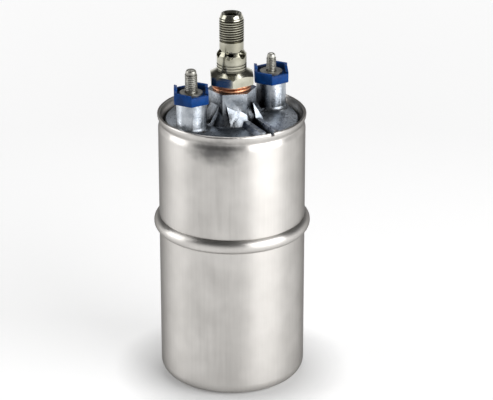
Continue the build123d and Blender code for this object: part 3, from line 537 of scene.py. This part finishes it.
def finishes():
    """Every finish of the pump by the record's slot name."""
    return {
        # Deep-drawn aluminium: satin and warm, with faint vertical streaks
        "drawn_aluminium": drawn_aluminium(),
        # Die-cast aluminium: cooler and rougher than the can
        "die_cast_aluminium": cast_aluminium("die_cast_aluminium", "#b7bcc2", "#8a9199", False),
        "turned_cast_aluminium": cast_aluminium("turned_cast_aluminium", "#b0b6be", "#939aa2", True),
        # Glass-filled nylon in blue: moulded, half gloss
        "blue_plastic": plastic("blue_plastic", "#0d478f", "#09366f", 0.32, 0.6, 0.02),
        # Zinc plate: dull grey with fine pits, and painted shade in its thread
        "zinc_plated_steel": metal(
            "zinc_plated_steel", "#b9b8b1", "#94928b", 0.34, 0.48, 0.5, 0.008,
            patch_mm=3.0, painted_shade="#3c3b38",
        ),
        # Nickel plate over turned steel: yellowish and bright, streaked round the axis, with painted shade
        # in its grooves
        "nickel_plated_steel": metal(
            "nickel_plated_steel", "#bdbbad", "#9a9889", 0.13, 0.23, 0.35, 0.004,
            scale=(1, 1, 6), painted_shade="#1c1b16",
        ),
        # Soft copper: warm, brown where it has tarnished
        "copper": metal("copper", "#d9a17e", "#9c6649", 0.3, 0.45, 0.6, 0.03, patch_mm=1.5),
        # Stamped brass
        "brass": metal("brass", "#cdb368", "#b3954c", 0.25, 0.35, 0.4, 0.006),
        # Sintered bronze: porous and dull
        "bronze": metal("bronze", "#a9825a", "#8a6642", 0.42, 0.55, 0.3, 0.015),
        # Nitrile rubber: black, matt
        "seal_rubber": plastic("seal_rubber", "#1c1c1c", "#141414", 0.55, 0.4, 0.01),
        # Phenolic and acetal mouldings: dark brown
        "dark_plastic": plastic("dark_plastic", "#35302b", "#2a2622", 0.45, 0.5, 0.012),
        # Drawn spring wire: grey, oiled
        "spring_steel": metal("spring_steel", "#8f9094", "#77787c", 0.26, 0.36, 0.3, 0.004),
        # Ground steel: fine and bright
        "ground_steel": metal(
            "ground_steel", "#c3c3c4", "#b2b2b4", 0.18, 0.28, 0.25, 0.003, scale=(1, 6, 1)
        ),
        # Electrical sheet in a stack: blue-grey layers along the axis
        "lamination_steel": metal(
            "lamination_steel", "#7d8087", "#5c5f66", 0.36, 0.5, 0.5, 0.02, scale=(0.1, 0.1, 1)
        ),
        # Ferrite magnet: dark, ground
        "ferrite": plastic("ferrite", "#3a3b3d", "#2d2e30", 0.5, 0.4, 0.01),
        # Pressed carbon: black with a slight shine
        "carbon": plastic("carbon", "#2b2b2c", "#1f1f20", 0.42, 0.3, 0.008),
    }


# Settings that a user would change


class PumpThreadSettings(bpy.types.PropertyGroup):
    """Screw threads of the outlet and the two studs."""

    outlet_pitch: FloatProperty(
        name="Outlet pitch", description="Pitch of the outlet thread, in mm",
        default=1.0, min=0.5, max=2.0,
    )
    large_pitch: FloatProperty(
        name="Large stud pitch", description="Pitch of the large stud's thread, in mm",
        default=0.8, min=0.4, max=1.5,
    )
    small_pitch: FloatProperty(
        name="Small stud pitch", description="Pitch of the small stud's thread, in mm",
        default=0.7, min=0.4, max=1.5,
    )
    tooth_share: FloatProperty(
        name="Tooth depth", description="Depth of the outlet's thread as a share of its pitch",
        default=0.56, min=0.2, max=0.8, subtype="FACTOR",
    )
    stud_tooth_share: FloatProperty(
        name="Stud tooth depth", description="Depth of the plated studs' threads as a share of the pitch",
        default=0.36, min=0.2, max=0.8, subtype="FACTOR",
    )


class PumpEdgeSettings(bpy.types.PropertyGroup):
    """Rounding of cast and moulded edges."""

    cast_rounding: FloatProperty(
        name="Cast edges", description="Rounding of the cast cover's edges, in mm",
        default=0.45, min=0.05, max=1.0,
    )
    moulded_rounding: FloatProperty(
        name="Moulded edges", description="Rounding of the insulators' edges, in mm",
        default=0.25, min=0.05, max=0.6,
    )


class PumpStageSettings(bpy.types.PropertyGroup):
    """Floor, lamps and camera."""

    floor_colour: FloatVectorProperty(
        name="Floor colour", description="Colour of the pale floor",
        default=linear("#cfcfcf"), size=4, subtype="COLOR", min=0, max=1,
    )
    floor_lift: FloatProperty(
        name="Floor lift", description="Light added to the floor as the camera and reflections see it",
        default=0.5, min=0, max=1,
    )
    # Less added floor light right under the pump: a painted contact shadow
    painted_shadow_lift: FloatProperty(
        name="Contact lift", description="The same right under the pump, where its shadow lies",
        default=0.15, min=0, max=1,
    )
    key_power: FloatProperty(
        name="Right softbox", description="Power of the softbox at the right",
        default=5.0, min=0, unit="POWER",
    )
    fill_power: FloatProperty(
        name="Left softbox", description="Power of the softbox at the left",
        default=2.0, min=0, unit="POWER",
    )
    top_power: FloatProperty(
        name="Top softbox", description="Power of the softbox overhead",
        default=4.5, min=0, unit="POWER",
    )
    surround: FloatProperty(
        name="Surround", description="Brightness of the walls as they light the pump",
        default=0.2, min=0, max=1,
    )
    ceiling: FloatProperty(
        name="Ceiling", description="Brightness of the ceiling", default=0.06, min=0, max=1
    )
    lens: FloatProperty(
        name="Lens", description="Focal length of the camera", default=161.36, min=20, unit="CAMERA"
    )


# Pieces


class PUMP_OT_outlet_fitting(bpy.types.Operator):
    """Turn the outlet fitting: spigot, hexagon, grooved neck, cross holes and fine thread"""

    bl_idname = "pump.outlet_fitting"
    bl_label = "Outlet fitting"

    def execute(self, context):
        threads = context.scene.pump_threads
        pitch = threads.outlet_pitch
        depth = pitch * threads.tooth_share
        rings = [(SPIGOT_RADIUS, SPIGOT_BASE), (SPIGOT_RADIUS, HEX_BASE)]
        rings += [(NECK_RADIUS, HEX_BASE), (NECK_RADIUS, NECK_BASE)]
        # Fine rings turned into the lower part of the neck
        groove_floor = NECK_RADIUS - NECK_GROOVE_DEPTH
        groove = NECK_BASE + 0.15
        while groove < NECK_BASE + NECK_GROOVED_LENGTH:
            rings += [(NECK_RADIUS, groove), (groove_floor, groove + 0.15)]
            rings += [(groove_floor, groove + 0.5), (NECK_RADIUS, groove + 0.65)]
            groove += NECK_GROOVE_PITCH
        # Cone up to the shank, and the core that the thread stands on
        rings += [(NECK_RADIUS, CONE_BASE - 0.15), (NECK_RADIUS - 0.1, CONE_BASE)]
        rings += [(SHANK_RADIUS + 0.12, SHANK_BASE - 0.1), (SHANK_RADIUS, SHANK_BASE + 0.05)]
        rings += [(SHANK_RADIUS, THREAD_BASE - 0.5), (THREAD_CORE_RADIUS + 0.2, THREAD_BASE - 0.2)]
        rings += [(THREAD_CORE_RADIUS, THREAD_BASE + 0.3), (THREAD_CORE_RADIUS - 0.1, POINT_BASE)]
        body = turned("fitting_body", rings)
        # Hexagon with its turned chamfer
        deselect()
        bpy.ops.mesh.primitive_cylinder_add(
            vertices=6,
            radius=HEX_CORNER * MM,
            depth=(NECK_BASE - HEX_BASE) * MM,
            location=(0, 0, (NECK_BASE + HEX_BASE) / 2 * MM),
            rotation=(0, 0, HEX_TURN + radians(30)),
        )
        hexagon = context.object
        place_in_mesh(hexagon)
        chamfer = turned(
            "fitting_chamfer",
            [
                (HEX_CORNER - 0.35, HEX_BASE),
                (HEX_CORNER + 0.05, HEX_BASE + 0.2),
                (HEX_CORNER + 0.05, NECK_BASE - (HEX_CORNER - NECK_RADIUS) * tan(radians(30))),
                (NECK_RADIUS, NECK_BASE),
            ],
        )
        boolean(hexagon, chamfer, "INTERSECT")
        boolean(body, hexagon, "UNION")
        # Thread with a lead-in at both ends
        thread = threaded(
            "outlet_thread", THREAD_RADIUS, pitch, depth, THREAD_BASE - 0.8, OUTLET_TOP + 0.4, segments=64
        )
        lead = turned(
            "outlet_lead",
            [
                (THREAD_RADIUS - 0.55, THREAD_BASE - 0.45),
                (THREAD_RADIUS + 0.05, THREAD_BASE + 0.15),
                (THREAD_RADIUS + 0.05, POINT_BASE),
                (THREAD_RADIUS - 0.9, OUTLET_TOP - 0.15),
                (THREAD_RADIUS - 1.05, OUTLET_TOP),
            ],
        )
        boolean(thread, lead, "INTERSECT")
        boolean(body, thread, "UNION")
        # Centre hole with its countersink, the bore below and the cross holes
        sink = turned(
            "outlet_sink",
            [
                (SINK_RADIUS, OUTLET_TOP - 4.5),
                (SINK_RADIUS, OUTLET_TOP - 0.8),
                (SINK_MOUTH_RADIUS, OUTLET_TOP),
                (SINK_MOUTH_RADIUS, OUTLET_TOP + 0.5),
            ],
        )
        boolean(body, sink, "DIFFERENCE")
        cavity = turned(
            "outlet_cavity",
            [
                (VALVE_BORE_RADIUS, SPIGOT_BASE - 1),
                (VALVE_BORE_RADIUS, VALVE_BORE_TOP),
                (OUTLET_BORE_RADIUS, VALVE_BORE_TOP),
                (OUTLET_BORE_RADIUS, THREAD_BASE - 1.6),
            ],
        )
        boolean(body, cavity, "DIFFERENCE")
        for number in range(3):
            deselect()
            bpy.ops.mesh.primitive_cylinder_add(
                vertices=32,
                radius=CROSS_HOLE_RADIUS * MM,
                depth=14 * MM,
                location=(0, 0, CROSS_HOLE_HEIGHT * MM),
                rotation=(0, pi / 2, CROSS_HOLE_TURN + number * pi / 3),
            )
            drill = context.object
            place_in_mesh(drill)
            boolean(body, drill, "DIFFERENCE")
        body.name = "outlet_fitting_turned"
        smooth(body, 28)
        dress(body, "outlet_fitting", "nickel_plated_steel")
        return {"FINISHED"}


class PUMP_OT_terminal_studs(bpy.types.Operator):
    """Turn the two threaded terminal studs with their round heads and domed tips"""

    bl_idname = "pump.terminal_studs"
    bl_label = "Terminal studs"

    def execute(self, context):
        threads = context.scene.pump_threads
        for side, size, radius, pitch in (
            (-1, "large", LARGE_STUD_RADIUS, threads.large_pitch),
            (1, "small", SMALL_STUD_RADIUS, threads.small_pitch),
        ):
            centre = (side * TOWER_SPREAD, 0)
            low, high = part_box(f"terminal_stud_{size}")
            head_base = low[2] / MM
            tip = high[2] / MM
            depth = pitch * threads.stud_tooth_share
            shank = radius - 0.26
            rod = turned(
                f"stud_rod_{size}",
                [
                    (STUD_HEAD_RADIUS, head_base),
                    (STUD_HEAD_RADIUS, head_base + STUD_HEAD_HEIGHT),
                    (shank, head_base + STUD_HEAD_HEIGHT),
                    (shank, TOWER_TOP + 4.3),
                    (radius - depth, TOWER_TOP + 4.5),
                ],
                segments=48,
                centre=centre,
            )
            thread = threaded(
                f"stud_thread_{size}", radius, pitch, depth, TOWER_TOP + 3.9, tip + 0.4, centre, segments=40
            )
            # The envelope trims the thread to a lead-in, a plain neck and a domed tip
            dome = [(radius - 0.5, TOWER_TOP + 4.3), (radius + 0.05, TOWER_TOP + 4.85)]
            dome += [(radius + 0.05, tip - 2.0), (radius - 0.32, tip - 1.75)]
            dome += [(radius - 0.34, tip - 1.5), (radius - 0.3, tip - 1.1)]
            for step in (25, 45, 65, 82):
                dome.append((radius - 1.35 + cos(radians(step)), tip - 1.0 + sin(radians(step))))
            envelope = turned(f"stud_tip_{size}", dome, segments=48, centre=centre)
            boolean(thread, envelope, "INTERSECT")
            piece = joined(f"terminal_stud_{size}_threaded", rod, thread)
            smooth(piece, 30)
            dress(piece, f"terminal_stud_{size}", "zinc_plated_steel")
        return {"FINISHED"}


class PUMP_OT_end_cover(bpy.types.Operator):
    """Round the die-cast end cover's edges and turn its flat face"""

    bl_idname = "pump.end_cover"
    bl_label = "End cover"

    def execute(self, context):
        rounding = context.scene.pump_edges.cast_rounding
        piece = rounded_copy("end_cover", "end_cover_cast", rounding, segments=3)
        dress(piece, "end_cover", "die_cast_aluminium")
        piece.data.materials.append(materials["turned_cast_aluminium"])
        for polygon in piece.data.polygons:
            height = polygon.center.z / MM
            if polygon.normal.z > 0.98 and abs(height - COVER_FACE) < 0.1:
                polygon.material_index = 1
        return {"FINISHED"}


class PUMP_OT_insulators(bpy.types.Operator):
    """Round the moulded edges of the two insulator cups"""

    bl_idname = "pump.insulators"
    bl_label = "Insulators"

    def execute(self, context):
        rounding = context.scene.pump_edges.moulded_rounding
        for size in ("large", "small"):
            piece = rounded_copy(f"insulator_{size}", f"insulator_{size}_moulded", rounding)
            dress(piece, f"insulator_{size}", "blue_plastic")
        return {"FINISHED"}


class PUMP_OT_finishes(bpy.types.Operator):
    """Give every node that stays its finish"""

    bl_idname = "pump.finishes"
    bl_label = "Finishes"

    def execute(self, context):
        for part in frame["record"]["subparts"]:
            node = frame["nodes"][part["node"]]
            for slot in node.material_slots:
                slot.material = materials[part["material_slot"]]
        return {"FINISHED"}


def toward(angle):
    """A level direction from the pump, by its angle to the right of the camera, in degrees."""
    turn = radians(angle - 90 + CAMERA_AZIMUTH)
    return Vector((cos(turn), sin(turn), 0))


def softbox(name, setup, power):
    """A rectangular lamp that faces the pump's middle, unseen by the camera itself."""
    angle, reach, height, size = setup
    place = toward(angle) * reach + Vector((0, 0, height))
    bpy.ops.object.light_add(type="AREA", location=place)
    lamp = bpy.context.object
    lamp.name = name
    lamp.data.shape = "RECTANGLE"
    lamp.data.size = size[0]
    lamp.data.size_y = size[1]
    lamp.data.energy = power
    lamp.rotation_euler = (PUMP_MIDDLE - place).to_track_quat("-Z", "Y").to_euler()
    lamp.visible_camera = False


def seen(tree):
    """One for the camera and for what shows in metal or glass, nothing for other rays."""
    path = add(tree, "ShaderNodeLightPath")
    both = add(
        tree,
        "ShaderNodeMath",
        {"operation": "ADD"},
        {0: path.outputs["Is Camera Ray"], 1: path.outputs["Is Glossy Ray"]},
    )
    return add(
        tree,
        "ShaderNodeMath",
        {"operation": "ADD", "use_clamp": True},
        {0: both.outputs["Value"], 1: path.outputs["Is Transmission Ray"]},
    ).outputs["Value"]


class PUMP_OT_stage(bpy.types.Operator):
    """Set up the pale floor, the softboxes and the camera"""

    bl_idname = "pump.stage"
    bl_label = "Stage"

    def execute(self, context):
        stage = context.scene.pump_stage
        deselect()
        bpy.ops.mesh.primitive_plane_add(size=20, location=(0, 0, 0))
        floor = context.object
        floor.name = "floor"
        material, tree, shader = new_material("pale_floor")
        shader.inputs["Base Color"].default_value = stage.floor_colour
        shader.inputs["Roughness"].default_value = 0.9
        shader.inputs["Specular IOR Level"].default_value = 0.2
        # The floor reads white to the camera and in reflections and keeps the lamps' shadow; its added light
        # is lower within 50 mm of the axis, a painted contact shadow under the pump
        place = add(tree, "ShaderNodeTexCoord")
        distance = add(tree, "ShaderNodeVectorMath", {"operation": "LENGTH"}, {0: place.outputs["Object"]})
        reach = distance.outputs["Value"]
        near = ramp(tree, reach, stage.painted_shadow_lift, stage.floor_lift, 0.03, 0.05)
        far = ramp(tree, reach, 0, 1 - stage.floor_lift, 0.3, 1.3)
        level = add(tree, "ShaderNodeMath", {"operation": "ADD"}, {0: near, 1: far}).outputs["Value"]
        lift = add(tree, "ShaderNodeMath", {"operation": "MULTIPLY"}, {0: seen(tree), 1: level})
        shader.inputs["Emission Color"].default_value = (1, 1, 1, 1)
        tree.links.new(lift.outputs["Value"], shader.inputs["Emission Strength"])
        floor.data.materials.append(material)
        world = bpy.data.worlds.new("studio")
        context.scene.world = world
        world.use_nodes = True
        background = world.node_tree.nodes["Background"]
        background.inputs["Color"].default_value = (1, 1, 1, 1)
        # Pale walls, white where they are seen, under a dark ceiling
        tree = world.node_tree
        direction = add(tree, "ShaderNodeTexCoord")
        height = add(tree, "ShaderNodeSeparateXYZ", links={0: direction.outputs["Generated"]})
        walls = add(
            tree,
            "ShaderNodeMath",
            {"operation": "MULTIPLY_ADD", 1: 1 - stage.surround, 2: stage.surround},
            {0: seen(tree)},
        )
        strength = add(
            tree,
            "ShaderNodeMapRange",
            {"interpolation_type": "SMOOTHSTEP", "From Max": 0.42, "To Max": stage.ceiling},
            {"Value": height.outputs["Z"], "To Min": walls.outputs["Value"]},
        )
        camera_ray = add(tree, "ShaderNodeLightPath").outputs["Is Camera Ray"]
        white = add(
            tree, "ShaderNodeMath", {"operation": "MAXIMUM"}, {0: strength.outputs["Result"], 1: camera_ray}
        )
        tree.links.new(white.outputs["Value"], background.inputs["Strength"])
        softbox("softbox_right", RIGHT_SOFTBOX, stage.key_power)
        softbox("softbox_left", LEFT_SOFTBOX, stage.fill_power)
        softbox("softbox_top", TOP_SOFTBOX, stage.top_power)
        camera_data = bpy.data.cameras.new("camera")
        camera_data.lens = stage.lens
        camera_data.sensor_width = 36.0
        camera = bpy.data.objects.new("camera", camera_data)
        context.scene.collection.objects.link(camera)
        camera.location = CAMERA_PLACE
        camera.rotation_euler = CAMERA_TURN
        context.scene.camera = camera
        context.scene.view_settings.view_transform = "Standard"
        return {"FINISHED"}


class PUMP_PT_rebuild(bpy.types.Panel):
    """Sizes, finishes and steps of the fuel pump"""

    bl_idname = "PUMP_PT_rebuild"
    bl_label = "Fuel Pump"
    bl_space_type = "VIEW_3D"
    bl_region_type = "UI"
    bl_category = "Fuel Pump"

    def draw(self, context):
        scene = context.scene
        for settings in (scene.pump_threads, scene.pump_edges, scene.pump_stage):
            box = self.layout.box()
            for name in settings.bl_rna.properties.keys():
                if name not in ("rna_type", "name"):
                    box.prop(settings, name)
        for operator in OPERATORS:
            self.layout.operator(operator.bl_idname)


SETTINGS = {
    "pump_threads": PumpThreadSettings,
    "pump_edges": PumpEdgeSettings,
    "pump_stage": PumpStageSettings,
}
OPERATORS = (
    PUMP_OT_finishes,
    PUMP_OT_outlet_fitting,
    PUMP_OT_terminal_studs,
    PUMP_OT_end_cover,
    PUMP_OT_insulators,
    PUMP_OT_stage,
)
materials = {}


def register():
    """Make the settings, steps and panel known to Blender."""
    for settings in SETTINGS.values():
        bpy.utils.register_class(settings)
    for operator in OPERATORS:
        bpy.utils.register_class(operator)
    bpy.utils.register_class(PUMP_PT_rebuild)
    for name, settings in SETTINGS.items():
        setattr(bpy.types.Scene, name, PointerProperty(type=settings))


def unregister():
    """Take the settings, steps and panel out again."""
    for name in SETTINGS:
        delattr(bpy.types.Scene, name)
    bpy.utils.unregister_class(PUMP_PT_rebuild)
    for operator in reversed(OPERATORS):
        bpy.utils.unregister_class(operator)
    for settings in reversed(list(SETTINGS.values())):
        bpy.utils.unregister_class(settings)


def main():
    """Dress the pump step by step."""
    register()
    materials.update(finishes())
    bpy.ops.pump.finishes()
    bpy.ops.pump.outlet_fitting()
    bpy.ops.pump.terminal_studs()
    bpy.ops.pump.end_cover()
    bpy.ops.pump.insulators()
    bpy.ops.pump.stage()


if __name__ == "__main__":
    main()
